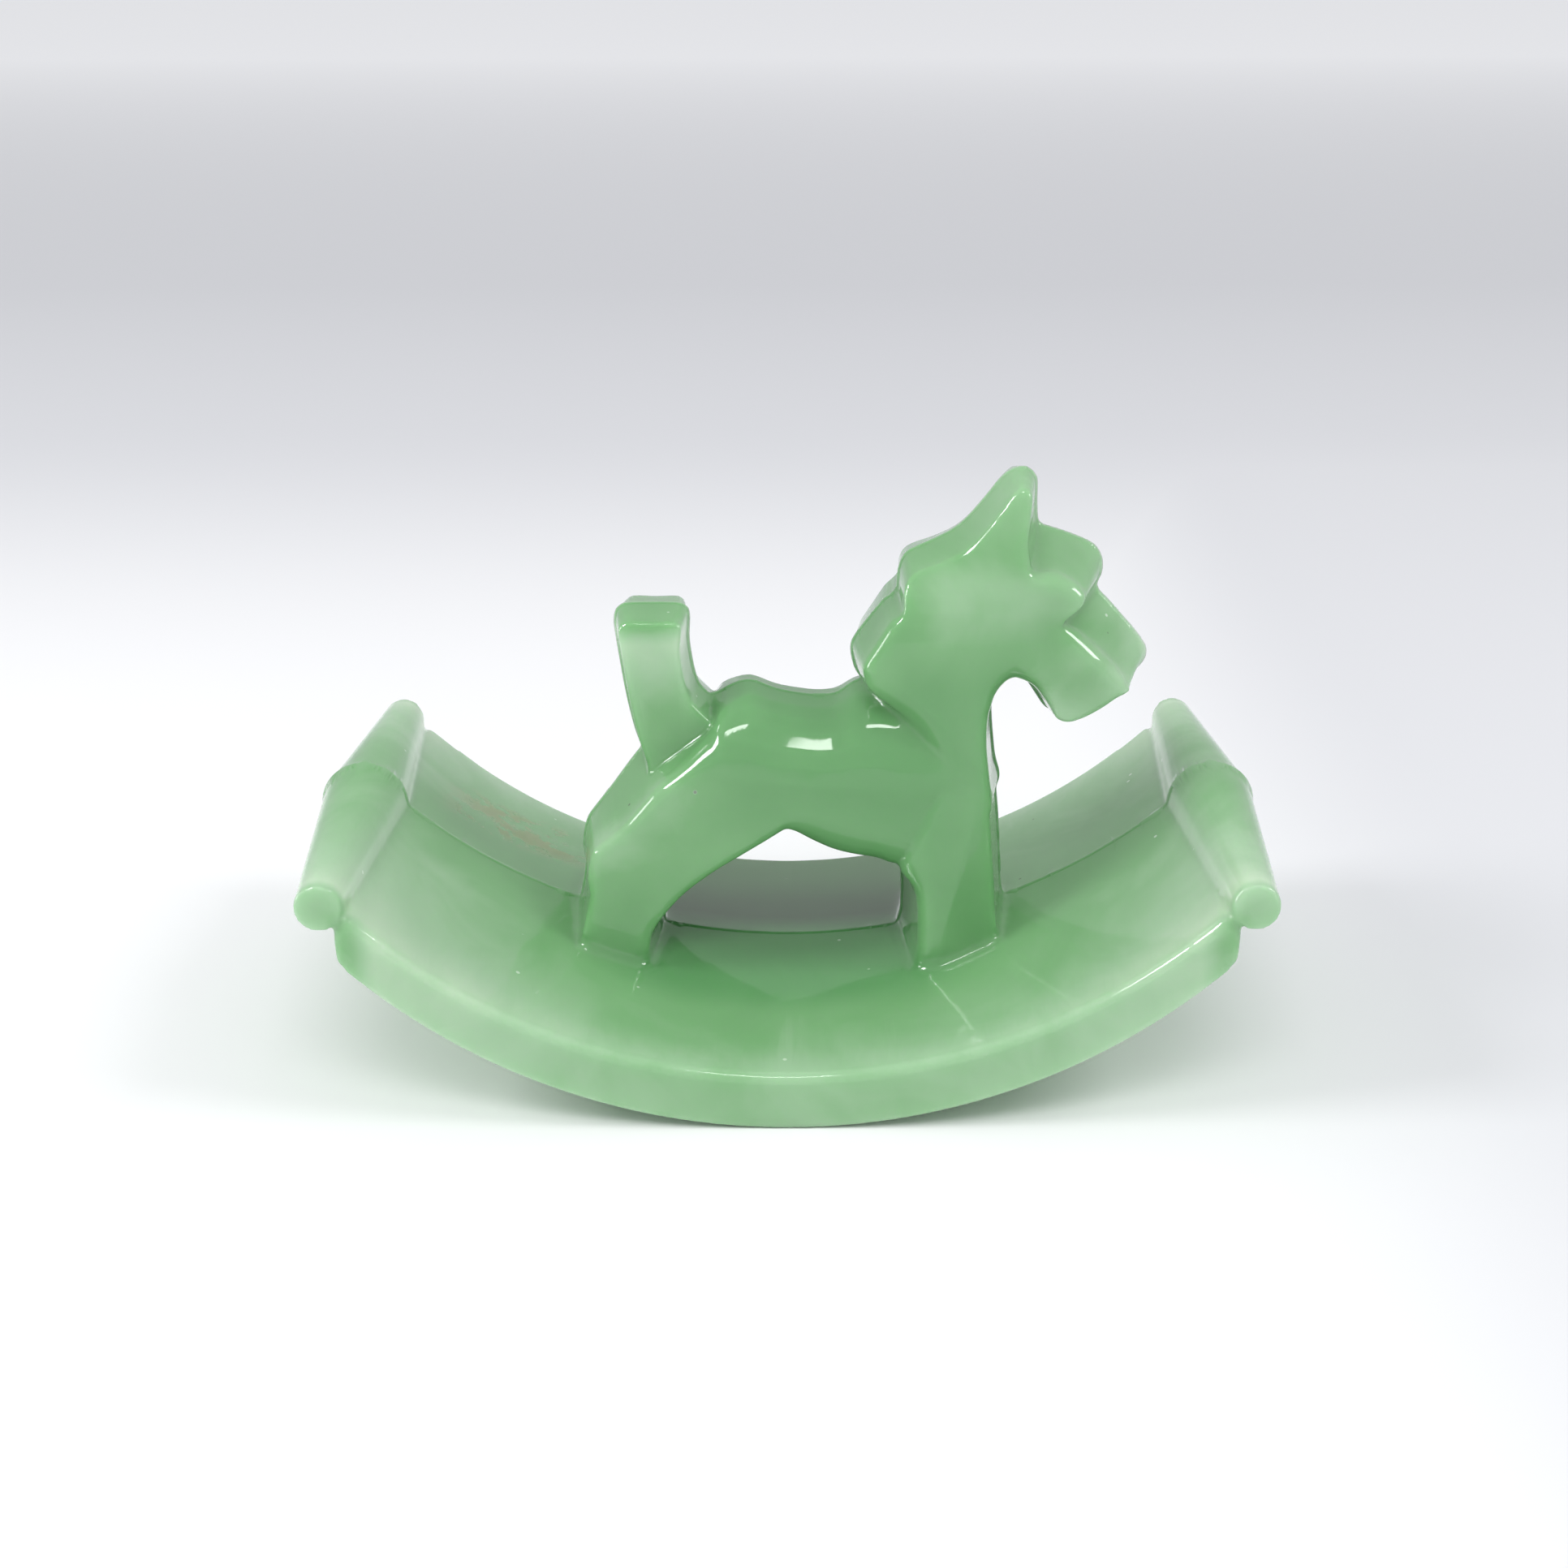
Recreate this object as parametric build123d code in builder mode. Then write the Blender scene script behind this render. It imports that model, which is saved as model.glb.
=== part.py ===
"""Pressed-glass rocking dog: a terrier that stands on a curved rocker plate.

The real figurine is one pressing from a two-part mould. The mould halves meet on the plane
y = 0, so every wall leans in from that seam towards the two side faces. Here the pressing is
cut into the regions that a person would name. They meet face to face and nothing moves.

Frame: millimetres, +Z up, origin on the ground under the middle of the rocker, dog facing +X.
Points are (x, z) pairs on the seam plane.
"""
import os

from build123d import *

# ---- rocker plate -------------------------------------------------------------------------
half_width = 28.0             # seam to side face, along Y
underside_radius = 62.3       # the rolling curve, straight across the width
plate_half_length = 44.0      # where the underside ends
plate_top_half_length = 42.0  # where the upper surface ends, beside the rolls
plate_thickness_seam = 8.8    # at the middle, under the dog
plate_thickness_side = 6.0    # at the middle, at the side faces
plate_rise_seam = 16.0        # how far the upper surface climbs from its middle to its ends
plate_rise_side = 16.6

# ---- end rolls ----------------------------------------------------------------------------
roll_half_spacing = 45.5
roll_height = 24.2
roll_seam_radius = 4.7
roll_end_radius = 2.4

# ---- dog: how thick each region is, from the seam to its side face --------------------------
wall_lean = 7                 # degrees that the mould walls lean in
tail_half = 5.2
haunch_half = 9.4
hind_leg_half = 10.2
torso_half = 9.0
chest_half = 9.2
fore_leg_half = 10.8
neck_half = 8.4
head_half = 7.8
ear_half = 5.8
brow_half = 7.4
muzzle_half = 7.2

# ---- dog: corners of the outline ------------------------------------------------------------
tail_root = (-15.4, 30.8)
tail_top = 46.5
tail_corner = 1.2
tail_notch = (-8.0, 36.7)
hips = (-1.2, 37.2)
withers = (7.8, 38.8)
mane = (8.6, 45.2)
nape = (11.3, 48.4)
ear_back = (12.4, 52.0)
ear_front = (26.0, 55.2)
mouth_corner = (32.1, 48.4)
jaw_corner = (25.6, 38.7)
throat = (21.6, 36.6)
leg_front = 23.2
leg_back = 12.5
elbow = (11.6, 19.0)
belly = (0.2, 23.3)
stifle = (-13.4, 12.2)        # bend at the front of the hind leg
heel = -22.2
hock = (-22.1, 19.6)
rump = (-21.4, 22.7)

# ---- ends of the cuts between regions, each in the open space around the outline -------------
behind_tail = (-18.5, 29.0)
before_tail = (-6.5, 40.0)
above_hips = (-4.0, 45.0)
under_hips = (-2.0, 18.0)
behind_hock = (-30.0, 26.5)
above_withers = (6.0, 39.4)
behind_mane = (2.0, 45.0)
behind_nape = (9.5, 49.0)
behind_ear = (10.0, 52.2)
before_ear = (27.2, 56.2)
before_mouth = (34.0, 48.3)
under_jaw = (26.2, 36.0)
in_throat = (24.2, 37.6)
under_throat = (24.5, 35.6)
behind_elbow = (11.0, 16.5)
brow_root = (26.4, 45.4)      # the one cut corner inside the glass
foot_skin = 1.5               # plate left under the feet, which reach down into it
reach = 80.0                  # the cutting prisms run well past the figure


def underside_height(x):
    """Height of the rolling curve above the ground."""
    return underside_radius - (underside_radius**2 - x**2) ** 0.5


leg_bottom = underside_height(leg_front) + foot_skin


def plate_profile(thickness, rise):
    """Close the plate's section: rolling curve, two end walls and the upper curve."""
    corner = (plate_half_length, underside_height(plate_half_length))
    roll = (roll_half_spacing, roll_height)
    top = (plate_top_half_length, thickness + rise)
    ThreePointArc((-corner[0], corner[1]), (0, 0), corner)
    Polyline(corner, roll, top)
    ThreePointArc(top, (0, thickness), (-top[0], top[1]))
    Polyline((-top[0], top[1]), (-roll[0], roll[1]), (-corner[0], corner[1]))


def add_pressing(half_thickness):
    """Give the dog's outline its thickness, both ways from the seam, and stand it up."""
    with BuildPart(mode=Mode.PRIVATE) as pressing:
        add(dog_outline.sketch)
        extrude(amount=-half_thickness)
        walls = pressing.faces().filter_by(Axis.Z, reverse=True)
        draft(walls, Plane.XY, -wall_lean)
        mirror(about=Plane.XY)
    add(pressing.part.rotate(Axis.X, 90))


def keep_inside(*corners):
    """Cut the part down to one region, with walls square to the seam."""
    with BuildSketch(Plane.XZ) as region:
        with BuildLine():
            Polyline(*corners, close=True)
        make_face()
    extrude(region.sketch, amount=reach, both=True, mode=Mode.INTERSECT)


def save(piece, name):
    piece.part.label = name
    export_step(piece.part, f"parts/{name}.step")


os.makedirs("parts", exist_ok=True)

# ---- end rolls: thick at the seam, tapering to a small disc at each side face ----------------
with BuildPart() as tail_end_roll:
    for side in (-1, 1):
        with BuildSketch(Plane.XZ):
            with Locations((-roll_half_spacing, roll_height)):
                Circle(roll_seam_radius)
        with BuildSketch(Plane.XZ.offset(side * half_width)):
            with Locations((-roll_half_spacing, roll_height)):
                Circle(roll_end_radius)
        loft(ruled=True)
save(tail_end_roll, "tail_end_roll")

with BuildPart() as head_end_roll:
    add(mirror(tail_end_roll.part, about=Plane.YZ, mode=Mode.PRIVATE))
save(head_end_roll, "head_end_roll")

# ---- rocker plate: straight across underneath, its top sloping down from the seam -------------
with BuildPart() as rocker_plate:
    for side in (-1, 1):
        with BuildSketch(Plane.XZ):
            with BuildLine():
                plate_profile(plate_thickness_seam, plate_rise_seam)
            make_face()
        with BuildSketch(Plane.XZ.offset(side * half_width)):
            with BuildLine():
                plate_profile(plate_thickness_side, plate_rise_side)
            make_face()
        loft(ruled=True)
    add(tail_end_roll.part, mode=Mode.SUBTRACT)
    add(head_end_roll.part, mode=Mode.SUBTRACT)
save(rocker_plate, "rocker_plate")

# ---- the dog's outline on the seam, drawn lying down and stood up with its thickness ----------
with BuildSketch(Plane.XY) as dog_outline:
    with BuildLine():
        # tail, from the rump up and over to the notch in front of it
        ThreePointArc(tail_root, (-17.1, 38.5), (-18.0, tail_top - tail_corner))
        Line((-18.0, tail_top - tail_corner), (-18.0 + tail_corner, tail_top))
        Line((-18.0 + tail_corner, tail_top), (-10.4 - tail_corner, tail_top))
        Line((-10.4 - tail_corner, tail_top), (-10.4, tail_top - tail_corner))
        ThreePointArc((-10.4, tail_top - tail_corner), (-9.9, 40.2), tail_notch)
        # back: the bump over the hips, then the saddle
        ThreePointArc(tail_notch, (-4.6, 38.2), hips)
        ThreePointArc(hips, (3.4, 36.5), withers)
        # mane and nape
        ThreePointArc(withers, (6.8, 42.0), mane)
        Line(mane, nape)
        ThreePointArc(nape, (11.3, 50.5), ear_back)
        # ear
        ThreePointArc(ear_back, (17.0, 54.7), (21.0, 58.2))
        Polyline((21.0, 58.2), (23.4, 61.2), (25.5, 60.9), ear_front)
        # brow, then muzzle and beard
        Polyline(ear_front, (31.4, 53.1), (32.8, 51.2), mouth_corner)
        Polyline(mouth_corner, (37.0, 43.2), (37.7, 41.0), (36.6, 39.4), (31.2, 35.3))
        Polyline((31.2, 35.3), (28.5, 34.7), (27.0, 36.2), jaw_corner)
        ThreePointArc(jaw_corner, (23.6, 39.0), throat)
        # chest and the front of the fore leg
        ThreePointArc(throat, (21.4, 33.0), (22.4, 28.0))
        Polyline((22.4, 28.0), (leg_front, 15.0), (leg_front, leg_bottom))
        # back of the fore leg, belly, front of the hind leg
        Polyline((leg_front, leg_bottom), (leg_back, leg_bottom), (leg_back, 17.0))
        ThreePointArc((leg_back, 17.0), (12.3, 18.3), elbow)
        ThreePointArc(elbow, (4.6, 20.6), belly)
        ThreePointArc(belly, (-7.6, 18.6), stifle)
        # hind foot, hock and rump
        Polyline(stifle, (stifle[0], leg_bottom), (heel, leg_bottom), (-21.8, 17.0))
        Polyline((-21.8, 17.0), hock, rump, tail_root)
    make_face()

# ---- regions of the dog, from tail to muzzle ---------------------------------------------------
with BuildPart() as tail:
    add_pressing(tail_half)
    keep_inside(behind_tail, before_tail, (before_tail[0], reach), (-reach, reach))
save(tail, "tail")

with BuildPart() as haunch:
    add_pressing(haunch_half)
    keep_inside(behind_tail, before_tail, above_hips, under_hips, behind_hock)
save(haunch, "haunch")

with BuildPart() as hind_leg:
    add_pressing(hind_leg_half)
    keep_inside(behind_hock, under_hips, (under_hips[0], 0), (behind_hock[0], 0))
    add(rocker_plate.part, mode=Mode.SUBTRACT)
save(hind_leg, "hind_leg")

with BuildPart() as torso:
    add_pressing(torso_half)
    keep_inside(above_hips, above_withers, behind_elbow, under_hips)
save(torso, "torso")

with BuildPart() as chest:
    add_pressing(chest_half)
    keep_inside(above_withers, under_throat, (under_throat[0], behind_elbow[1]), behind_elbow)
save(chest, "chest")

with BuildPart() as fore_leg:
    add_pressing(fore_leg_half)
    keep_inside(behind_elbow, (reach, behind_elbow[1]), (reach, 0), (behind_elbow[0], 0))
    add(rocker_plate.part, mode=Mode.SUBTRACT)
save(fore_leg, "fore_leg")

with BuildPart() as neck:
    add_pressing(neck_half)
    keep_inside(above_withers, behind_mane, behind_nape, in_throat, under_throat)
save(neck, "neck")

with BuildPart() as head:
    add_pressing(head_half)
    keep_inside(behind_nape, behind_ear, before_ear, brow_root, under_jaw, in_throat)
save(head, "head")

with BuildPart() as ear:
    add_pressing(ear_half)
    keep_inside(behind_ear, before_ear, (before_ear[0], reach), (behind_ear[0], reach))
save(ear, "ear")

with BuildPart() as brow:
    add_pressing(brow_half)
    keep_inside(before_ear, (reach, reach), before_mouth, brow_root)
save(brow, "brow")

with BuildPart() as muzzle:
    add_pressing(muzzle_half)
    keep_inside(brow_root, before_mouth, (reach, before_mouth[1]), (under_jaw[0], behind_tail[1]), under_jaw)
save(muzzle, "muzzle")
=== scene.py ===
# %% [markdown]
# # A rocking dog in pressed glass
# The real ornament is one lump of milky green glass, squeezed between two mould halves while it
# was hot. The halves met on the plane y = 0, so the front half and the back half are mirror
# images, every wall leans away from that plane, and a thin fin of glass runs along the join.
# This script models the front half, mirrors it, raises the fin, and then mixes the glass.

# %% Load the frame
import math

import bpy
import numpy as np
from mathutils import Matrix, Vector
from mathutils.bvhtree import BVHTree
from mathutils.kdtree import KDTree


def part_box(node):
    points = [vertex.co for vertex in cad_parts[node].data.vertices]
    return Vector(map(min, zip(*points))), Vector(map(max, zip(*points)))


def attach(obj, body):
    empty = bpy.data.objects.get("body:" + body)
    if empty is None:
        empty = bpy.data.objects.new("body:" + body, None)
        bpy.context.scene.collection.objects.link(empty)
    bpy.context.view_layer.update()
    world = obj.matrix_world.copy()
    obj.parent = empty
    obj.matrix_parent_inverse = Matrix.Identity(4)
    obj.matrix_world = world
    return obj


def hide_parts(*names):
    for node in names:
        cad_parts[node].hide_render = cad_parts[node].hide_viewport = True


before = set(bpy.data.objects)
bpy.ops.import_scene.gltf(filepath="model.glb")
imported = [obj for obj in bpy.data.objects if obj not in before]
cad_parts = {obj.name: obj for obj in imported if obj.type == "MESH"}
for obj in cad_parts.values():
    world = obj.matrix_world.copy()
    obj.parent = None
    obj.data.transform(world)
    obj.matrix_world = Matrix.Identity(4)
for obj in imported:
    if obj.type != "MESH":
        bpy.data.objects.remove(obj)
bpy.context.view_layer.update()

MM = 0.001

# %% [markdown]
# The camera comes first, so that every later look is judged from the same place. It stands a
# little above the dog's head and looks down at it through a moderately long lens, which keeps
# the two ends of the rocker nearly the same size.

# %% Camera
pitch, yaw, roll = math.radians(21.0), math.radians(-0.24), math.radians(0.18)
forward = Vector((math.sin(yaw) * math.cos(pitch), math.cos(yaw) * math.cos(pitch), -math.sin(pitch)))
level = Vector((math.cos(yaw), -math.sin(yaw), 0))
down = forward.cross(level)
right = math.cos(roll) * level + math.sin(roll) * down
up = math.sin(roll) * level - math.cos(roll) * down
turn = Matrix((right, up, -forward)).transposed().to_4x4()
camera_data = bpy.data.cameras.new("camera")
camera_data.sensor_width = 36
camera_data.lens = 54.04
camera = bpy.data.objects.new("camera", camera_data)
camera.matrix_world = Matrix.Translation(Vector((0.63, -236.3, 117.1)) * MM) @ turn
bpy.context.collection.objects.link(camera)
bpy.context.scene.camera = camera
print("lens:", round(camera_data.lens, 1), "mm")

# %% [markdown]
# Sizes that the front half is built from, in millimetres. Points are (x, z) pairs, and depths
# count towards the viewer from the plane between the mould halves. The plate's upper surface is
# an arc on the seam and a slightly different arc on the side face, each with a centre height and
# a radius.

# %% Sizes
HALF_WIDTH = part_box("rocker_plate")[1].y / MM
UNDERSIDE_RADIUS = 62.3
PLATE_END, PLATE_TOP_END, PLATE_END_HEIGHT = 44.2, 42.6, 21.5
SEAM_ARC, SIDE_ARC = (71.93, 63.10), (67.26, 61.28)
RIM_ROUND, UNDER_ROUND = 0.9, 0.4
ROLL_X, ROLL_Z = 45.5, 24.2
ROLL_SEAM_RADIUS, ROLL_END_RADIUS = 4.5, 2.35
LEAN = math.tan(math.radians(8))
BEHIND = 4.0          # how far each block runs past the seam before it is cut there
FIN = 0.2             # how far the fin on the seam stands out
VOXEL = 0.25          # grain of the melt
FACES = 95000         # aimed for when the two halves are thinned out
print("half width:", round(HALF_WIDTH, 1), "mm, walls lean", round(math.degrees(math.atan(LEAN))), "degrees")

# %% [markdown]
# Each region of the pressing is a block. Its outline on the seam plane is clicked out point by
# point and filled. The block is then extruded towards the viewer in rings. The wall leans in
# at first, as a mould wall has to, and rounds over to the side face at the end. The same three
# steps serve for every block, so they are functions.

# %% Drawing and pressing a block


def nothing_selected():
    if bpy.context.object and bpy.context.object.mode != "OBJECT":
        bpy.ops.object.mode_set(mode="OBJECT")
    bpy.ops.object.select_all(action="DESELECT")


def draw_outline(name, points, y):
    """Click out a closed outline, point by point, and fill it with one face."""
    nothing_selected()
    bpy.ops.mesh.primitive_plane_add(size=MM)
    block = bpy.context.object
    block.name = name
    bpy.ops.object.mode_set(mode="EDIT")
    bpy.ops.mesh.merge(type="CENTER")
    pen = Vector((0, 0, 0))
    for number, (x, z) in enumerate(points):
        place = Vector((x, y, z)) * MM
        if number == 0:
            bpy.ops.transform.translate(value=place - pen)
        else:
            bpy.ops.mesh.extrude_region_move(TRANSFORM_OT_translate={"value": place - pen})
        pen = place
    bpy.ops.mesh.select_all(action="SELECT")
    bpy.ops.mesh.edge_face_add()
    return block


def ease(rows, spacing=0.7):
    """Run a smooth line through rows of numbers. A row that ends in "corner" stays sharp."""
    sharp = [row[-1] == "corner" for row in rows]
    plain = [np.array([v for v in row if v != "corner"], float) for row in rows]
    eased = []
    for i in range(len(plain)):
        a, b = plain[i], plain[(i + 1) % len(plain)]
        before, after = plain[i - 1], plain[(i + 2) % len(plain)]
        out = (b - a) if sharp[i] else (b - before) / 2
        into = (b - a) if sharp[(i + 1) % len(plain)] else (after - a) / 2
        gap = np.linalg.norm(b[:2] - a[:2])
        for end, slope in ((before - a, out), (after - b, into)):
            reach = np.linalg.norm(slope[:2])
            if reach > gap:
                slope *= gap / reach
        for t in np.arange(0, 1, 1 / max(1, round(gap / spacing))):
            eased.append((2 * t**3 - 3 * t**2 + 1) * a + (t**3 - 2 * t**2 + t) * out
                         + (3 * t**2 - 2 * t**3) * b + (t**3 - t**2) * into)
    return eased


def press(name, rows, depth, steps=6, smooth=True):
    """Press a block. A row is (x, z on the seam, x, z on the side face, depth of the rounding).

    A sixth number is how far the rounding runs in the side view. Where it is left out, the wall
    leans by LEAN, and the rounding takes up the rest."""
    full = []
    for row in rows:
        sharp = row[-1] == "corner"
        row = row[:-1] if sharp else row
        across = math.hypot(row[2] - row[0], row[3] - row[1])
        run = row[5] if len(row) > 5 else max(across - (depth - row[4]) * LEAN, 0.1 * across)
        full.append(tuple(row[:5]) + (run,) + (("corner",) if sharp else ()))
    rows = ease(full) if smooth else [np.array(row, float) for row in full]
    block = draw_outline(name, [(row[0], row[1]) for row in rows], BEHIND)
    for ring in range(-1, steps + 1):
        bpy.ops.mesh.extrude_region_move(TRANSFORM_OT_translate={"value": (0, -MM, 0)})
        bpy.ops.object.mode_set(mode="OBJECT")
        tips = sorted((v for v in block.data.vertices if v.select), key=lambda v: v.index)
        for vertex, row in zip(tips, rows):
            seam, face, soft, run = Vector(row[0:2]), Vector(row[2:4]), row[4], row[5]
            straight = 1 - min(run / max((face - seam).length, 1e-6), 1)
            spot, y = seam, 0
            if ring >= 0:
                angle = ring / steps * math.pi / 2
                spot = seam.lerp(face, straight + (1 - straight) * (1 - math.cos(angle)))
                y = -(depth - soft) - soft * math.sin(angle)
            vertex.co = Vector((spot.x, y, spot.y)) * MM
        bpy.ops.object.mode_set(mode="EDIT")
    bpy.ops.mesh.select_all(action="SELECT")
    bpy.ops.mesh.normals_make_consistent(inside=False)
    bpy.ops.object.mode_set(mode="OBJECT")
    return block


def contour(block, depth, dips, pitch=1.5):
    """Slice a block like a loaf, then let its side face swell and dip through (x, z, depth)."""
    nothing_selected()
    bpy.context.view_layer.objects.active = block
    block.select_set(True)
    low, high = Vector(block.bound_box[0]) / MM, Vector(block.bound_box[6]) / MM
    bpy.ops.object.mode_set(mode="EDIT")
    for axis, normal in ((0, (1, 0, 0)), (2, (0, 0, 1))):
        for cut in np.arange(low[axis] + pitch / 2, high[axis], pitch):
            bpy.ops.mesh.select_all(action="SELECT")
            bpy.ops.mesh.bisect(plane_co=Vector(normal) * cut * MM, plane_no=normal)
    bpy.ops.object.mode_set(mode="OBJECT")
    known = np.array(dips, float)

    def kernel(a, b):
        r2 = ((a[:, None, :] - b[None, :, :]) ** 2).sum(-1)
        return 0.5 * r2 * np.log(r2 + 1e-9)

    n = len(known)
    side = np.column_stack([np.ones(n), known[:, :2]])
    system = np.block([[kernel(known[:, :2], known[:, :2]), side], [side.T, np.zeros((3, 3))]])
    weights = np.linalg.solve(system, np.concatenate([known[:, 2], np.zeros(3)]))
    co = np.array([v.co for v in block.data.vertices]) / MM
    there = np.column_stack([kernel(co[:, [0, 2]], known[:, :2]), np.ones(len(co)), co[:, [0, 2]]])
    wanted = there @ weights
    front = co[:, 1] < 0
    co[front, 1] *= wanted[front] / depth
    for vertex, place in zip(block.data.vertices, co):
        vertex.co = Vector(place) * MM
    return block


print("ready to press blocks with walls that lean", round(LEAN, 3), "mm for each mm of depth")

# %% [markdown]
# The trunk is the haunch, the hind leg, the barrel of the body and the chest in one outline.
# Its back rounds over widely, its rump is a long bevel, and its legs have nearly sharp edges.
# The side face stands a little prouder towards the foot.

# %% Trunk
trunk_rows = [
    (-22.1, 19.6, -20.1, 18.9, 0.7), (-21.9, 21.1, -19.9, 20.5, 0.7), (-21.4, 22.7, -19.3, 21.9, 0.7),
    (-18.8, 26.2, -16.3, 24.8, 1.4, 0.9), (-15.4, 30.8, -12.9, 28.3, 1.7, 1.2),
    (-12.5, 33.6, -11.0, 29.7, 2.2, 1.5),
    (-10.0, 35.8, -9.3, 30.8, 3.0, 2.2), (-8.3, 36.6, -7.7, 31.3, 4.0, 3.4), (-7.1, 36.9, -6.8, 31.4, 5.0),
    (-5.8, 37.7, -5.5, 30.9, 6.5), (-3.9, 38.2, -3.7, 30.4, 7.7), (-1.2, 37.2, -1.0, 29.9, 8.0),
    (1.3, 36.7, 1.4, 29.7, 8.0), (3.4, 36.5, 3.5, 29.5, 8.0), (5.4, 36.8, 5.4, 29.4, 8.0),
    (7.3, 38.1, 7.3, 29.4, 8.0), (10.0, 38.3, 10.0, 29.4, 8.0), (14.0, 37.5, 13.6, 29.3, 7.5),
    (17.5, 36.5, 16.5, 30.5, 6.0), (20.3, 34.0, 18.9, 33.0, 0.9), (20.7, 31.5, 19.2, 31.0, 0.9),
    (21.2, 29.0, 19.7, 28.8, 0.9), (21.4, 26.1, 19.9, 26.0, 0.9), (21.5, 23.5, 19.9, 23.8, 0.9),
    (19.5, 21.0, 18.5, 22.5, 0.9), (14.5, 20.0, 14.5, 22.8, 2.0),
    (11.2, 19.0, 12.0, 23.3, 3.5), (9.4, 19.6, 9.8, 24.0, 3.8), (7.0, 20.0, 7.2, 24.6, 4.0),
    (4.8, 20.6, 4.9, 25.3, 4.0), (2.6, 21.7, 2.6, 26.1, 3.8), (1.0, 22.8, 0.9, 26.2, 3.0),
    (0.1, 23.4, -0.4, 25.8, 1.8, "corner"), (-2.0, 22.1, -2.7, 24.3, 1.0), (-4.8, 20.4, -5.5, 22.6, 0.9),
    (-7.5, 18.7, -8.3, 20.7, 0.9), (-10.2, 16.6, -11.2, 18.5, 0.9), (-12.0, 14.6, -13.3, 16.3, 0.9),
    (-13.3, 12.6, -15.2, 13.9, 0.9), (-13.7, 9.5, -16.3, 10.5, 0.9), (-13.9, 6.0, -16.8, 6.0, 0.9),
    (-22.8, 6.0, -22.4, 6.0, 0.7), (-22.6, 12.5, -21.9, 11.8, 0.7), (-22.0, 16.2, -20.7, 14.9, 0.7),
    (-21.8, 18.0, -20.3, 17.2, 0.7),
]
TRUNK_HALF = 9.0
trunk = press("trunk", trunk_rows, TRUNK_HALF)
contour(trunk, TRUNK_HALF, [
    (-19.5, 21.6, 9.5), (-13.0, 28.7, 9.3), (-7.0, 31.0, 9.1), (0.0, 30.0, 9.0), (8.0, 29.5, 9.0),
    (15.0, 30.0, 9.0), (20.5, 30.0, 9.0), (20.5, 24.0, 9.0), (12.0, 23.5, 9.0), (0.0, 26.0, 9.1),
    (-12.0, 18.0, 9.9), (-18.0, 16.0, 10.1), (-20.0, 9.0, 10.6), (-16.0, 9.0, 10.6), (0.0, 38.0, 9.0),
    (15.0, 37.0, 9.0)])
print("trunk:", len(trunk.data.polygons), "faces")

# %% [markdown]
# The fore leg runs straight down from the chest. Its side is two flat facets that meet on a soft
# upright ridge, so the flat front plane is pressed first and the right part of it is sliced off.

# %% Fore leg
leg_rows = [
    (13.0, 27.0, 16.0, 27.5, 2.6), (11.0, 19.2, 14.4, 23.0, 2.8), (12.2, 17.4, 14.9, 18.8, 2.6),
    (12.5, 15.2, 15.0, 15.4, 2.4), (12.5, 12.2, 15.0, 12.2, 2.2), (12.4, 6.0, 15.0, 6.0, 2.0),
    (23.3, 6.0, 21.9, 6.0, 0.9), (23.1, 15.8, 21.6, 15.8, 0.9), (22.7, 21.9, 21.2, 21.9, 0.9),
    (22.2, 26.5, 20.8, 26.5, 0.9), (21.2, 30.0, 19.8, 30.0, 0.9), (17.0, 30.6, 17.0, 30.0, 0.9),
]
LEG_HALF = 10.6
leg = press("fore_leg", leg_rows, LEG_HALF)
contour(leg, LEG_HALF, [(12.0, 30.0, 9.0), (22.0, 30.0, 9.0), (12.0, 9.5, 11.1), (22.0, 9.5, 11.1)])
ridge_top, ridge_foot = Vector((19.9, -9.05, 29.5)), Vector((15.8, -11.0, 9.5))
heel_side = Vector((22.2, -9.3, 9.5))
facet = (ridge_foot - ridge_top).cross(heel_side - ridge_top).normalized()
facet *= -1 if facet.y > 0 else 1
nothing_selected()
bpy.context.view_layer.objects.active = leg
bpy.ops.object.mode_set(mode="EDIT")
bpy.ops.mesh.select_all(action="SELECT")
bpy.ops.mesh.bisect(plane_co=ridge_top * MM, plane_no=facet, use_fill=True, clear_outer=True)
bpy.ops.object.mode_set(mode="OBJECT")
print("fore leg:", len(leg.data.polygons), "faces, facet normal", [round(v, 2) for v in facet])

# %% [markdown]
# The neck, cheek, ear, brow and beard are one block too, because they flow into each other. The
# brow and the beard each round over from a long slope on top, and the notch between the two
# slopes leaves the crease that runs down from the mouth.

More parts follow.
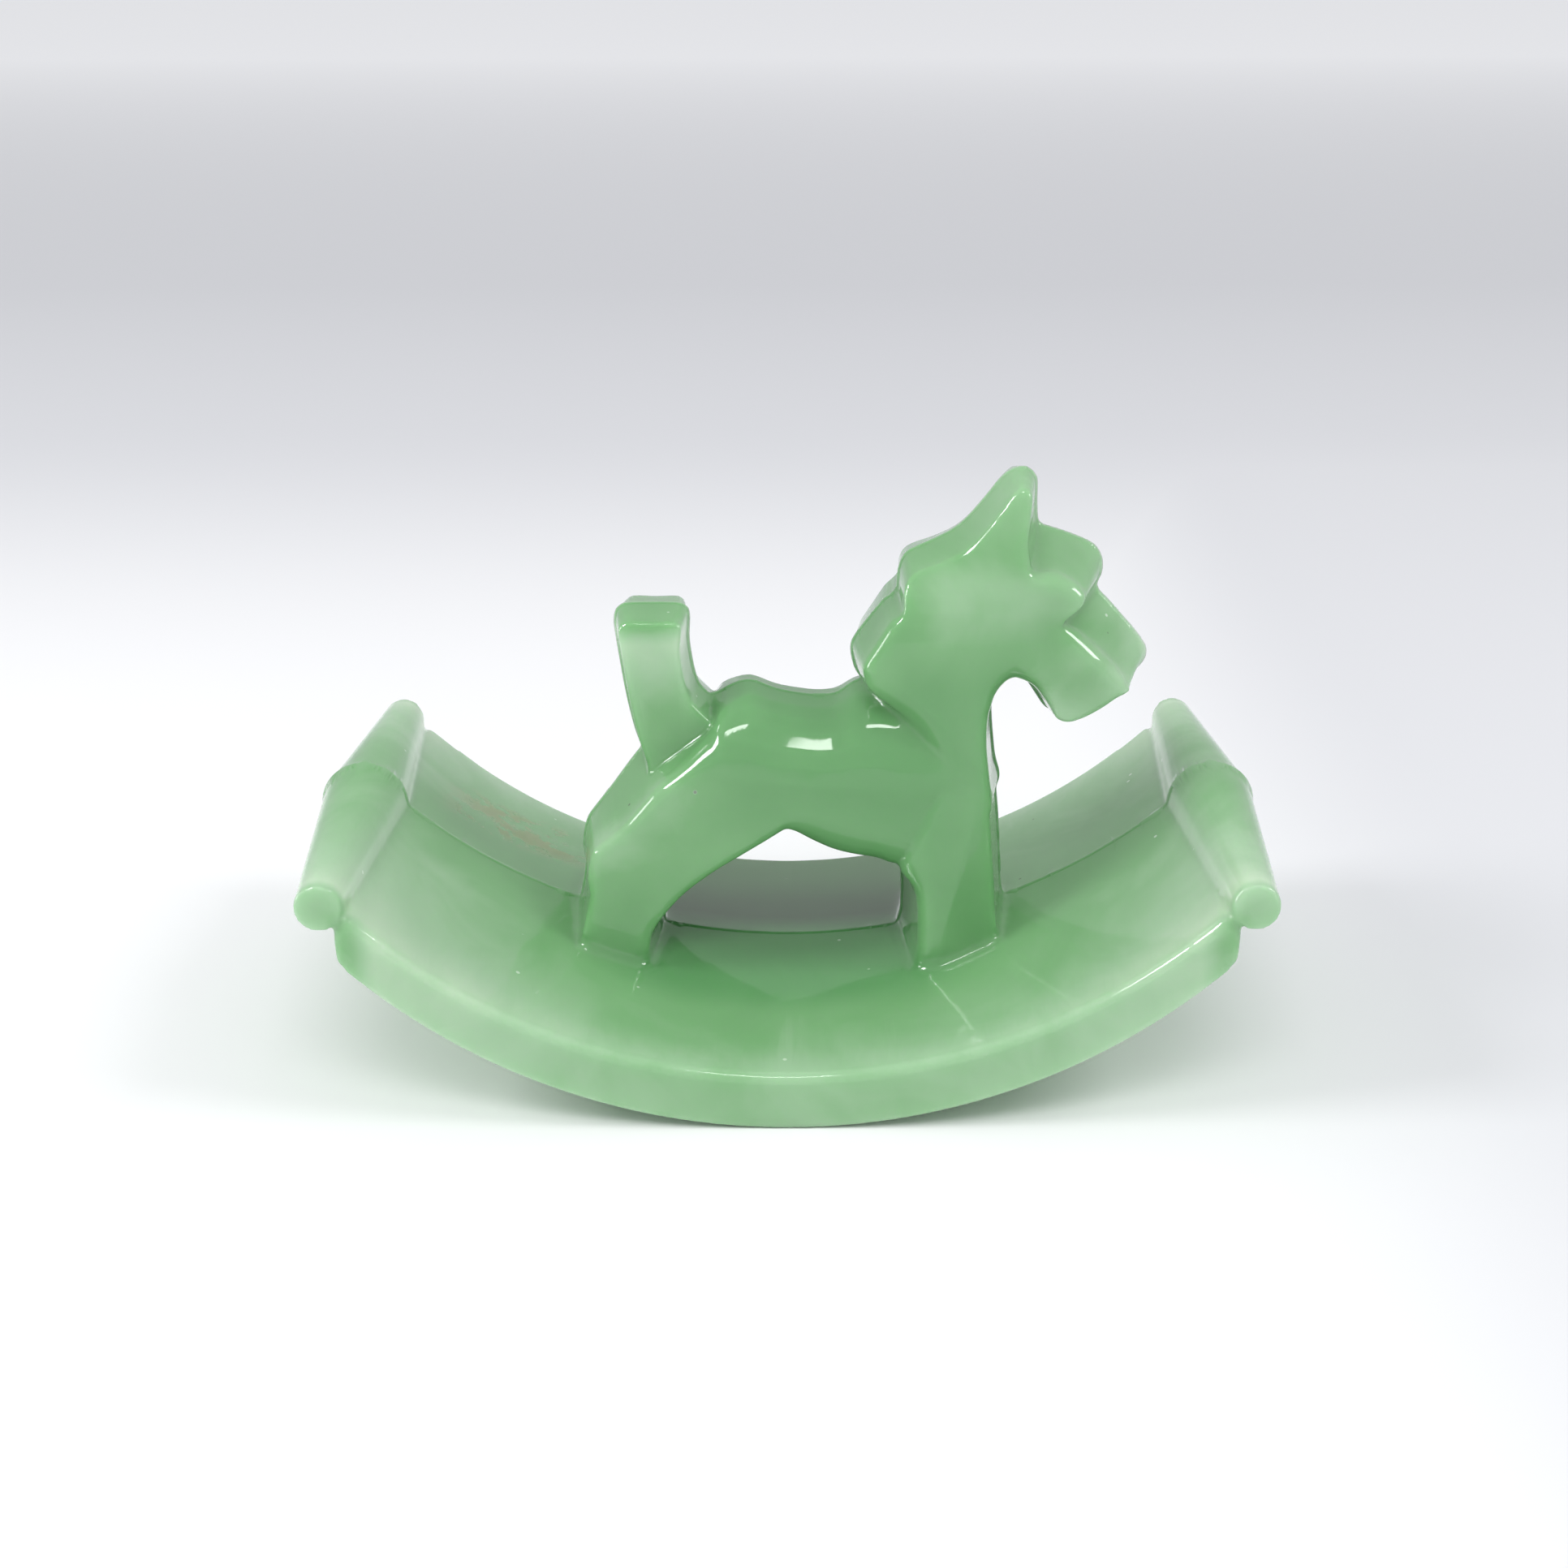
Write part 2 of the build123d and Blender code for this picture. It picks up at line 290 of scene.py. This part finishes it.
# %% Head
head_rows = [
    (15.2, 27.0, 18.0, 27.5, 3.0), (14.6, 31.0, 17.7, 31.8, 3.4), (13.1, 33.7, 16.4, 35.0, 3.6),
    (11.4, 35.8, 14.6, 37.5, 3.6), (9.6, 37.2, 12.3, 39.3, 3.2), (8.0, 38.5, 10.4, 40.3, 2.4),
    (7.2, 39.8, 9.1, 41.0, 1.6), (6.8, 42.0, 8.7, 42.3, 1.5, 1.0), (7.3, 43.2, 9.3, 43.3, 1.5, 1.0),
    (8.6, 45.0, 10.3, 44.7, 1.5, 1.0), (10.2, 47.0, 11.3, 46.4, 1.3, 0.8), (11.5, 48.1, 11.9, 47.8, 0.7),
    (11.6, 49.5, 11.9, 49.4, 0.6), (11.9, 51.1, 12.3, 50.7, 0.6), (12.6, 52.2, 13.2, 51.5, 0.7),
    (15.1, 53.4, 15.7, 52.4, 0.8), (17.2, 54.5, 17.9, 53.3, 0.7), (18.7, 55.8, 19.4, 54.7, 0.6),
    (20.7, 58.2, 21.3, 57.2, 0.6), (22.0, 59.9, 22.5, 58.9, 0.6), (23.1, 60.8, 23.1, 59.3, 0.6),
    (24.5, 61.0, 23.4, 59.2, 0.6), (25.5, 60.0, 23.7, 58.7, 0.6), (25.6, 57.5, 23.7, 57.0, 0.6),
    (25.8, 55.4, 23.8, 54.2, 0.8, 0.6), (26.3, 55.0, 24.3, 51.2, 1.8, 1.0),
    (28.2, 54.4, 26.6, 50.6, 2.0, 1.3), (30.3, 53.6, 28.2, 49.9, 2.0, 1.3),
    (31.8, 52.8, 29.1, 49.3, 1.8, 1.2), (32.6, 51.4, 29.6, 48.7, 1.4, 1.0),
    (32.6, 49.9, 29.4, 48.0, 1.2, 0.8), (32.1, 48.7, 28.2, 47.0, 1.2, 0.8),
    (32.4, 48.0, 27.4, 46.2, 1.4, 0.9), (33.2, 47.2, 28.2, 44.9, 2.2, 1.6),
    (35.0, 45.2, 30.4, 42.7, 2.4, 1.8), (36.8, 43.1, 32.6, 40.5, 2.4, 1.7),
    (37.7, 41.5, 33.9, 39.5, 1.8, 1.2), (37.4, 40.3, 34.3, 39.1, 1.3, 0.9),
    (36.4, 39.2, 34.2, 39.0, 0.9),
    (35.1, 38.0, 33.6, 38.7, 0.8),
    (33.2, 36.5, 32.3, 37.6, 0.8), (31.0, 35.3, 30.5, 36.5, 0.8), (29.0, 34.8, 29.0, 36.1, 0.8),
    (27.6, 35.2, 28.0, 36.7, 0.9), (26.8, 36.2, 27.8, 37.7, 1.3), (25.9, 37.6, 27.2, 39.3, 1.9),
    (24.7, 39.1, 25.9, 41.1, 2.3), (23.4, 39.7, 23.7, 42.9, 2.4), (22.4, 39.2, 22.2, 42.4, 2.4),
    (21.7, 38.0, 20.7, 40.7, 2.2), (21.5, 36.2, 19.9, 37.5, 1.6), (21.6, 33.8, 20.0, 34.0, 1.0),
    (22.0, 30.0, 20.5, 30.0, 0.9), (22.3, 26.5, 20.9, 26.5, 0.9),
]
HEAD_HALF = 8.0
head = press("head", head_rows, HEAD_HALF)
contour(head, HEAD_HALF, [
    (17.0, 28.0, 9.0), (20.5, 28.0, 9.0), (18.0, 33.0, 9.1), (13.5, 37.5, 8.9), (9.0, 41.5, 8.5),
    (15.0, 41.0, 8.8), (20.0, 38.0, 8.9), (11.0, 46.0, 8.2), (17.0, 46.0, 8.4), (23.0, 44.0, 8.3),
    (12.4, 49.4, 7.2), (13.3, 51.5, 5.9), (15.7, 52.4, 5.7), (17.9, 53.3, 5.8), (16.0, 50.0, 7.3),
    (19.5, 54.7, 5.8), (20.0, 51.0, 7.5), (22.0, 55.5, 6.3), (23.5, 59.5, 5.3), (24.4, 56.0, 6.5),
    (24.5, 52.5, 7.4), (25.0, 48.0, 8.0), (30.0, 49.8, 7.6), (27.5, 46.0, 7.5), (31.0, 42.0, 7.6),
    (28.0, 38.0, 7.4), (35.0, 39.8, 7.0)])
print("head:", len(head.data.polygons), "faces")

# %% [markdown]
# The upright tail is a thin bar with nearly sharp edges and a square top.

# %% Tail
tail_rows = [
    (-14.6, 28.0, -13.8, 28.0, 0.4), (-15.4, 30.8, -14.4, 30.8, 0.4), (-16.1, 33.0, -15.1, 33.2, 0.4),
    (-16.9, 36.8, -15.9, 36.9, 0.4), (-17.6, 41.5, -16.6, 41.5, 0.4), (-18.0, 44.8, -17.0, 44.5, 0.4),
    (-17.7, 46.1, -16.8, 45.3, 0.4), (-17.0, 46.6, -16.2, 45.7, 0.4), (-14.0, 46.7, -14.0, 45.8, 0.4),
    (-11.1, 46.6, -11.8, 45.7, 0.4), (-10.4, 46.1, -11.3, 45.3, 0.4), (-10.3, 45.2, -11.2, 44.7, 0.4),
    (-10.4, 42.8, -11.3, 42.7, 0.4), (-9.9, 39.4, -10.8, 39.2, 0.4), (-9.3, 37.7, -10.3, 37.2, 0.4),
    (-8.2, 36.5, -9.2, 35.6, 0.4), (-7.0, 35.0, -8.0, 34.2, 0.4), (-8.0, 30.0, -8.0, 30.0, 0.4),
]
TAIL_HALF = 5.2
tail = press("tail", tail_rows, TAIL_HALF)
print("tail:", len(tail.data.polygons), "faces")

# %% [markdown]
# The plate is a curved slab. It is thickest on the seam and thins towards its side face, so its
# outline there is a different arc. The rolls on its ends are cones that thin the same way.

# %% Plate and rolls


def arc(x, centre, radius):
    """Height of an arc that sags to its lowest point over x = 0."""
    return centre - math.sqrt(radius**2 - x**2)


def top_row(x):
    return x, arc(x, *SEAM_ARC), x, arc(x, *SIDE_ARC) - RIM_ROUND, RIM_ROUND, RIM_ROUND


def under_row(x):
    low = arc(x, UNDERSIDE_RADIUS, UNDERSIDE_RADIUS)
    return x, low, x, low + UNDER_ROUND / 2, UNDER_ROUND, UNDER_ROUND / 2


def end_row(side):
    tip, side_tip = side * (PLATE_END + 0.2), side * (PLATE_END - 0.4)
    return tip, PLATE_END_HEIGHT, side_tip, PLATE_END_HEIGHT, RIM_ROUND, 0.5


plate_rows = [top_row(x) for x in np.linspace(-PLATE_TOP_END, PLATE_TOP_END, 61)]
plate_rows += [end_row(1)]
plate_rows += [under_row(x) for x in np.linspace(PLATE_END, -PLATE_END, 61)]
plate_rows += [end_row(-1)]
plate = press("plate", plate_rows, HALF_WIDTH, smooth=False)
rolls = []
slope = (ROLL_SEAM_RADIUS - ROLL_END_RADIUS) / HALF_WIDTH
for side in (-1, 1):
    nothing_selected()
    bpy.ops.mesh.primitive_cone_add(
        vertices=96, radius1=(ROLL_SEAM_RADIUS + BEHIND * slope) * MM, radius2=ROLL_END_RADIUS * MM,
        depth=(HALF_WIDTH + BEHIND) * MM, rotation=(math.radians(90), 0, 0),
        location=Vector((side * ROLL_X, (BEHIND - HALF_WIDTH) / 2, ROLL_Z)) * MM)
    bpy.ops.object.transform_apply(location=True, rotation=True, scale=True)
    rolls.append(bpy.context.object)
print("roll box:", [round(v / MM, 2) for v in rolls[0].dimensions])

# %% [markdown]
# The blocks are now one piece of hot glass. A voxel remesh melts them together with no inner
# walls, and a little smoothing lets the corners flow as they do in a mould.

# %% Melting the blocks together
nothing_selected()
blocks = [trunk, leg, head, tail, plate] + rolls
for block in blocks:
    block.select_set(True)
bpy.context.view_layer.objects.active = trunk
bpy.ops.object.join()
glass = bpy.context.object
glass.name = glass.data.name = "rocking_dog_glass"
melt = glass.modifiers.new("melt", "REMESH")
melt.mode = "VOXEL"
melt.voxel_size = VOXEL * MM
bpy.ops.object.modifier_apply(modifier=melt.name)
soften = glass.modifiers.new("soften", "SMOOTH")
soften.factor = 0.5
soften.iterations = 5
bpy.ops.object.modifier_apply(modifier=soften.name)
print("melted:", len(glass.data.vertices), "vertices")


def pick(test):
    """Select the vertices whose place in millimetres passes a test, and count them."""
    bpy.ops.object.mode_set(mode="EDIT")
    bpy.ops.mesh.select_all(action="DESELECT")
    bpy.ops.object.mode_set(mode="OBJECT")
    found = 0
    for vertex in glass.data.vertices:
        vertex.select = bool(test(vertex.co / MM))
        found += vertex.select
    bpy.ops.object.mode_set(mode="EDIT")
    return found


# %% [markdown]
# Where the legs stand on the plate the glass has flowed into small fillets. Repeated smoothing
# of just that band of vertices fills the sharp corner. The same is done beside the rolls, on the
# crease between neck and shoulder, and down the front of the chest, where three blocks overlap.
# The more often a band is smoothed, the wider it flows.

# %% Fillets
bpy.ops.object.mode_set(mode="EDIT")
bpy.ops.mesh.select_mode(type="VERT")


def plate_top(x, y):
    """Height of the plate's upper surface: a blend from the seam arc to the side arc."""
    share = min(abs(y) / HALF_WIDTH, 1)
    return (1 - share) * arc(x, *SEAM_ARC) + share * arc(x, *SIDE_ARC)


def near_a_foot(place):
    x, y, z = place
    beside = -25.5 < x < -11.5 or 10.5 < x < 25.5
    return beside and -13.5 < y < 0 and abs(z - plate_top(x, y)) < 1.6


def beside_a_roll(place):
    x, y, z = place
    apart = math.hypot(abs(x) - ROLL_X, z - ROLL_Z)
    return y < 0 and 37.5 < abs(x) < 44.6 and 17.5 < z < 26.0 and apart < 7.5


def on_the_shoulder(place):
    x, y, z = place
    return 5.0 < x < 20.0 and 28.5 < z < 41.5 and y < -1.0 and abs((z - 30) + (x - 17) * 0.95) < 5.0


def on_the_chest(place):
    x, y, z = place
    return 19.4 < x < 25.0 and 15.0 < z < 37.5 and y > -10.2


for name, test, times_over in (("feet", near_a_foot, 36), ("rolls", beside_a_roll, 20),
                               ("shoulder", on_the_shoulder, 26), ("chest", on_the_chest, 20)):
    print(name, "fillet:", pick(test), "vertices")
    bpy.ops.mesh.vertices_smooth(factor=0.5, repeat=times_over)

# %% [markdown]
# The block is cut on the seam plane, thinned out to a sensible number of triangles and mirrored.
# Thinning can move the open edge a little, so the edge is pressed flat onto the plane first. A
# few triangles end up lying in the plane itself, inside the glass, and they are deleted.

# %% Cut, thin out, mirror
bpy.ops.mesh.select_all(action="SELECT")
bpy.ops.mesh.bisect(plane_co=(0, 0, 0), plane_no=(0, 1, 0), clear_outer=True)
bpy.ops.object.mode_set(mode="OBJECT")
thin = glass.modifiers.new("thin", "DECIMATE")
thin.ratio = min(1.0, FACES / (2 * len(glass.data.polygons)))
bpy.ops.object.modifier_apply(modifier=thin.name)
bpy.ops.object.mode_set(mode="EDIT")
bpy.ops.mesh.select_all(action="DESELECT")
bpy.ops.mesh.select_non_manifold()
bpy.ops.transform.resize(value=(1, 0, 1), center_override=(0, 0, 0))
bpy.ops.object.mode_set(mode="OBJECT")
twin = glass.modifiers.new("twin", "MIRROR")
twin.use_axis = (False, True, False)
twin.merge_threshold = 0.001 * MM
bpy.ops.object.modifier_apply(modifier=twin.name)
bpy.ops.object.mode_set(mode="EDIT")
bpy.ops.mesh.select_mode(type="FACE")
bpy.ops.mesh.select_all(action="DESELECT")
bpy.ops.object.mode_set(mode="OBJECT")
for face in glass.data.polygons:
    face.select = all(abs(glass.data.vertices[corner].co.y) < 1e-9 for corner in face.vertices)
bpy.ops.object.mode_set(mode="EDIT")
bpy.ops.mesh.delete(type="FACE")
bpy.ops.mesh.select_mode(type="VERT")
bpy.ops.object.mode_set(mode="OBJECT")
print("whole:", len(glass.data.polygons), "faces")

# %% [markdown]
# The fin: glass that crept between the two mould halves. The vertices on the seam are pushed
# outwards a little way along their normals, except underneath, where the fin is worn off.

# %% Seam fin
print("fin vertices:", pick(lambda place: abs(place.y) < 0.0005 and place.z > 0.9))
bpy.ops.transform.shrink_fatten(value=FIN * MM)
bpy.ops.mesh.select_all(action="SELECT")
bpy.ops.mesh.normals_make_consistent(inside=False)
bpy.ops.object.mode_set(mode="OBJECT")


def volume():
    """Volume in cubic centimetres. It comes out negative where the faces look inwards."""
    return sum(p.center.dot(p.normal) * p.area for p in glass.data.polygons) / 3 * 1e6


if volume() < 0:
    bpy.ops.object.mode_set(mode="EDIT")
    bpy.ops.mesh.select_all(action="SELECT")
    bpy.ops.mesh.flip_normals()
    bpy.ops.object.mode_set(mode="OBJECT")
print("volume in cubic centimetres:", round(volume(), 1))
bpy.ops.object.shade_smooth()
box = [[round(f(v.co[i] for v in glass.data.vertices) / MM, 2) for i in range(3)] for f in (min, max)]
print("glass box in mm:", box)

# %% [markdown]
# Milky glass looks pale where it is thin and deep green where light has far to travel in it. A
# coarse copy of the dog is probed with rays that start on its skin and run through the glass.
# Their lengths say how much light gets through, and each vertex of the fine mesh takes the
# answer from the copy nearby. The material reads it as the attribute "clearness".

# %% Probing how clear each spot is
nothing_selected()
glass.select_set(True)
bpy.context.view_layer.objects.active = glass
bpy.ops.object.duplicate()
probe = bpy.context.object
coarse = probe.modifiers.new("coarse", "REMESH")
coarse.mode = "VOXEL"
coarse.voxel_size = 1.1 * MM
bpy.ops.object.modifier_apply(modifier=coarse.name)
tree = BVHTree.FromPolygons([v.co.copy() for v in probe.data.vertices],
                            [p.vertices[:] for p in probe.data.polygons])
FADE = 9.0            # millimetres of glass in which light falls to a bit over a third
RAYS = 40
turns = [((k + 0.5) / RAYS, k * 2.399963) for k in range(RAYS)]
clear = np.zeros(len(probe.data.vertices))
for index, vertex in enumerate(probe.data.vertices):
    inward = -vertex.normal
    across = inward.orthogonal().normalized()
    other = inward.cross(across)
    start = vertex.co + inward * 0.1 * MM
    total = 0
    for share, spin in turns:
        lean, rise = math.sqrt(share), math.sqrt(1 - share)
        ray = inward * rise + (across * math.cos(spin) + other * math.sin(spin)) * lean
        hit = tree.ray_cast(start, ray)
        total += math.exp(-(hit[3] or 0) / (FADE * MM))
    clear[index] = total / RAYS
kd = KDTree(len(clear))
for index, vertex in enumerate(probe.data.vertices):
    kd.insert(vertex.co, index)
kd.balance()
shade = np.zeros(len(glass.data.vertices))
for index, vertex in enumerate(glass.data.vertices):
    near = kd.find_n(vertex.co, 6)
    weights = [1 / (distance + 0.3 * MM) for _, _, distance in near]
    shade[index] = sum(w * clear[n] for w, (_, n, _) in zip(weights, near)) / sum(weights)
spread = [float(np.percentile(shade, q)) for q in (2, 25, 50, 75, 98)]
mark = glass.data.attributes.new("clearness", "FLOAT", "POINT")
mark.data.foreach_set("value", shade.astype(np.float32))
bpy.data.objects.remove(probe)
print("clearness at 2, 25, 50, 75, 98%:", [round(v, 3) for v in spread])

# %% [markdown]
# The glass needs many small steps of arithmetic on places and colours. Each step is a node, so
# a few short functions add the nodes. Light has to wander inside milky glass, so the shader has
# subsurface scattering under a clean gloss.

# %% Node helpers
jade = bpy.data.materials.new("jade_glass")
jade.use_nodes = True
tree = jade.node_tree
shader = tree.nodes["Principled BSDF"]
shader.inputs["Specular IOR Level"].default_value = 0.5
shader.inputs["Subsurface Weight"].default_value = 0.6
shader.inputs["Subsurface Radius"].default_value = (0.7, 1.0, 0.7)
shader.inputs["Subsurface Scale"].default_value = 4 * MM


def step(kind, settings=None, **feeds):
    """Add one node to the tree. A feed is a number, a colour, or another node's output."""
    made = tree.nodes.new("ShaderNode" + kind)
    for name, value in (settings or {}).items():
        setattr(made, name, value)
    for name, value in feeds.items():
        socket = made.inputs[int(name[1:])] if name[0] == "_" else made.inputs[name]
        if isinstance(value, bpy.types.NodeSocket):
            tree.links.new(value, socket)
        else:
            socket.default_value = value
    return made.outputs


def between(value, low, high, to_low=0.0, to_high=1.0):
    """Remap a value smoothly from one range to another."""
    return step("MapRange", {"interpolation_type": "SMOOTHSTEP"},
                _0=value, _1=low, _2=high, _3=to_low, _4=to_high)[0]


def below(value, low, high):
    """1 below the range, 0 above it."""
    return between(value, low, high, 1.0, 0.0)


def arithmetic(kind, *values):
    """Work through the values from left to right with one kind of sum."""
    result = values[0]
    for value in values[1:]:
        result = step("Math", {"operation": kind}, _0=result, _1=value)[0]
    return result


def times(*values):
    return arithmetic("MULTIPLY", *values)


def plus(*values):
    return arithmetic("ADD", *values)


def mix(share, a, b):
    """Mix two colours."""
    return step("Mix", {"data_type": "RGBA"}, _0=share, _6=a, _7=b)[2]


place = step("TexCoord")["Object"]
x, y, z = step("SeparateXYZ", Vector=place)
aside, apart = (step("Math", {"operation": "ABSOLUTE"}, _0=axis)[0] for axis in (x, y))
print("shader:", shader.name)

# %% [markdown]
# The clearness chooses between a deep jade and a pale jade, and slow noise makes the mixing
# slightly uneven, as stirred glass is. The rays know only the thickness. Where the light falls
# on the dog matters as well, so some regions are made a little paler or deeper. A region is a
# product of soft limits along x, y and z, in metres.

# %% Colour of the glass
clearness = step("Attribute", {"attribute_name": "clearness"})["Fac"]
swirl = step("TexNoise", Vector=place, Scale=70.0, Detail=3.0, Roughness=0.5, Distortion=0.8)["Fac"]
depth_tone = plus(clearness, between(swirl, 0.3, 0.7, -0.025, 0.025))

HEAD_CLEARNESS, HEAD_SHARE = 0.375, 0.75      # the head evens out towards this clearness
head_side = times(between(z, 0.039, 0.049), between(x, 0.008, 0.018))
evening = times(head_side, HEAD_SHARE, plus(HEAD_CLEARNESS, times(clearness, -1.0)))
depth_tone = plus(depth_tone, evening)

# Painted shadow of the dog on the plate under its belly.
dog_shadow = times(below(aside, 0.010, 0.022), below(z, 0.0095, 0.0125), between(y, -0.0175, -0.011))
plate_front = times(below(y, -0.009, -0.004), below(aside, 0.0400, 0.0425))
regions = (
    (times(between(x, 0.024, 0.028), between(z, 0.030, 0.036)), 0.03),                    # beard
    (times(between(z, 0.0435, 0.0460), below(x, -0.012, -0.008)), -0.19),                 # tail top
    (times(between(x, 0.011, 0.016), below(x, 0.024, 0.028),
           between(z, 0.039, 0.044), below(z, 0.050, 0.054)), 0.085),                     # cheek
    (times(below(x, -0.010, -0.001), between(x, -0.0255, -0.0235),
           between(z, 0.016, 0.023), below(z, 0.029, 0.033)), 0.115),                     # haunch
    (times(between(z, 0.0185, 0.022), below(z, 0.026, 0.030),
           between(x, -0.004, 0.002), below(x, 0.024, 0.027)), 0.035),                    # belly
    (times(plate_front, below(x, -0.040, -0.018)), 0.055),                                # plate, left
    (times(plate_front, between(x, 0.020, 0.040)), 0.020),                                # plate, right
    (times(between(aside, 0.0400, 0.0435), between(apart, 0.0262, 0.0278)), -0.13),       # roll tips
    (dog_shadow, -0.06),
)
for region, change in regions:
    depth_tone = plus(depth_tone, times(region, change))

ramp = tree.nodes.new("ShaderNodeValToRGB")
tree.links.new(depth_tone, ramp.inputs["Fac"])
DEPTH_COLOURS = (
    (0.19, (0.148, 0.350, 0.143, 1)), (0.34, (0.200, 0.420, 0.190, 1)),
    (0.46, (0.355, 0.548, 0.345, 1)), (0.58, (0.520, 0.670, 0.490, 1)),
)
for number, (stop, tint) in enumerate(DEPTH_COLOURS):
    point = ramp.color_ramp.elements[number] if number < 2 else ramp.color_ramp.elements.new(stop)
    point.position, point.color = stop, tint
print("tones:", len(DEPTH_COLOURS), "regions:", len(regions))

# %% [markdown]
# On top come the small faults of a cheap pressing that has been handled: seeds, which are tiny
# pale bubbles, a few dark specks, and a dry tan residue on the rear of the plate. A cell texture
# scatters the seeds and the specks, and its cell colours draw lots for which cells have one.

# %% Faults in the glass, and the dog's painted shadow
SEED_COLOUR, GRIT_COLOUR = (0.75, 0.85, 0.74, 1), (0.10, 0.13, 0.09, 1)
RESIDUE_COLOUR = (0.36, 0.35, 0.23, 1)
SHADE_COLOUR, DARK_SHADE_COLOUR = (0.085, 0.300, 0.095, 1), (0.052, 0.135, 0.046, 1)
cells = step("TexVoronoi", Vector=place, Scale=330.0)
lottery = step("SeparateColor", Color=cells["Color"])
seeds = times(below(cells["Distance"], 0.05, 0.09), between(lottery[0], 0.80, 0.82))
grit = times(below(cells["Distance"], 0.05, 0.08), between(lottery[1], 0.955, 0.96))

flakes = step("TexNoise", Vector=place, Scale=420.0, Detail=6.0, Roughness=0.65)["Fac"]
patch = step("TexNoise", Vector=place, Scale=110.0, Detail=2.0)["Fac"]
along = times(between(x, -0.040, -0.034), below(x, -0.027, -0.020))
slant = plus(y, times(x, -0.25))
strip = times(between(slant, 0.014, 0.019), below(slant, 0.024, 0.029))
residue = times(along, strip, between(plus(flakes, times(patch, 0.8)), 0.86, 0.96))

colour = mix(times(seeds, 0.55), ramp.outputs["Color"], SEED_COLOUR)
# Painted shadow: the plate under the dog, and most of all just behind it, is mixed towards deeper greens.
colour = mix(times(dog_shadow, 0.45), colour, SHADE_COLOUR)
dog_shadow_behind = times(dog_shadow, between(y, 0.000, 0.006))
colour = mix(times(dog_shadow_behind, 0.85), colour, DARK_SHADE_COLOUR)
colour = mix(times(grit, 0.7), colour, GRIT_COLOUR)
colour = mix(times(residue, 0.62), colour, RESIDUE_COLOUR)
tree.links.new(colour, shader.inputs["Base Color"])

smear = step("TexNoise", Vector=place, Scale=260.0, Detail=4.0)["Fac"]
gloss = plus(between(smear, 0.35, 0.75, 0.05, 0.11), times(residue, 0.45))
tree.links.new(gloss, shader.inputs["Roughness"])
ripple = step("TexNoise", Vector=place, Scale=230.0, Detail=2.0, Roughness=0.45)["Fac"]
height = plus(ripple, times(seeds, 0.15), times(residue, 0.1))
bump = step("Bump", Strength=0.22, Distance=0.1 * MM, Height=height)["Normal"]
tree.links.new(bump, shader.inputs["Normal"])
print("glass nodes:", len(tree.nodes))

# %% [markdown]
# The mesh gets the glass and takes the place of all the CAD regions, because the real surface
# runs on across them without a joint.

# %% Handing the glass to the frame
glass.data.materials.clear()
glass.data.materials.append(jade)
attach(glass, "root")
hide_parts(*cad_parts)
print("replaces", len(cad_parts), "regions")

# %% [markdown]
# A pale seamless sheet lies under the dog. Painted shade turns it a light grey far behind the
# dog and, as a painted shadow, to the right of it; far off it glows faintly as painted light.
# Broad panels to the left and the right light the glass softly. Highlights are placed on their
# own: small panels that show only in the gloss draw the white lines along the rounded edges.

# %% Floor and light
bpy.context.scene.view_settings.view_transform = "Standard"
nothing_selected()
bpy.ops.mesh.primitive_plane_add(size=12)
floor = bpy.context.object
floor.name = "floor"
paper = bpy.data.materials.new("paper")
paper.use_nodes = True
tree = paper.node_tree
sheet = tree.nodes["Principled BSDF"]
sheet.inputs["Roughness"].default_value = 0.95
sheet.inputs["Specular IOR Level"].default_value = 0.1
x, y, z = step("SeparateXYZ", Vector=step("TexCoord")["Object"])
# Painted shade: the paper turns grey far behind the dog and, as a painted shadow, to its right.
paper_shade = arithmetic("MAXIMUM", between(y, 0.08, 0.30), between(x, 0.030, 0.090, 0.0, 0.90))
NEAR_PAPER, SHADED_PAPER = (0.92, 0.922, 0.93, 1), (0.725, 0.73, 0.755, 1)
tree.links.new(mix(paper_shade, NEAR_PAPER, SHADED_PAPER), sheet.inputs["Base Color"])
# Painted light: far behind the dog the paper glows, more the further off it lies.
painted_glow = step("MapRange", _0=y, _1=0.50, _2=1.50, _3=0.0, _4=0.31)[0]
tree.links.new(painted_glow, sheet.inputs["Emission Color"])
sheet.inputs["Emission Strength"].default_value = 1.0
floor.data.materials.append(paper)


def soft_light(name, place, size, watts, shows):
    """Hang a panel that faces the dog. It either lights the dog or shows only in the gloss."""
    data = bpy.data.lights.new(name, "AREA")
    data.shape = "RECTANGLE"
    data.size, data.size_y = size
    data.energy = watts
    light = bpy.data.objects.new(name, data)
    light.location = place
    light.rotation_euler = (Vector((0, 0, 0.02)) - Vector(place)).to_track_quat("-Z", "Y").to_euler()
    light.visible_glossy = shows != "light"
    light.visible_diffuse = shows != "gloss"
    bpy.context.collection.objects.link(light)


soft_light("right_panel", (0.60, -0.20, 0.66), (0.30, 0.30), 1.9, "light")
soft_light("left_panel", (-0.66, -0.20, 0.56), (0.30, 0.30), 2.4, "light")
soft_light("front_fill", (0.0, -0.62, 0.82), (0.5, 0.3), 2.8, "light")
soft_light("right_glint", (0.78, -0.16, 0.52), (0.36, 0.30), 4.5, "gloss")
soft_light("left_glint", (-0.62, -0.30, 0.62), (0.30, 0.20), 5.6, "gloss")
soft_light("left_window_glint", (-0.95, -0.04, 0.24), (0.35, 0.45), 5.0, "gloss")
soft_light("front_glint", (0.04, -0.50, 0.92), (0.26, 0.13), 1.6, "gloss")
world = bpy.data.worlds.new("room")
world.use_nodes = True
world.node_tree.nodes["Background"].inputs["Color"].default_value = (0.965, 0.975, 1.0, 1)
world.node_tree.nodes["Background"].inputs["Strength"].default_value = 0.62
bpy.context.scene.world = world

# %% [markdown]
# The view layer is brought up to date.

# %% Finish
bpy.context.view_layer.update()
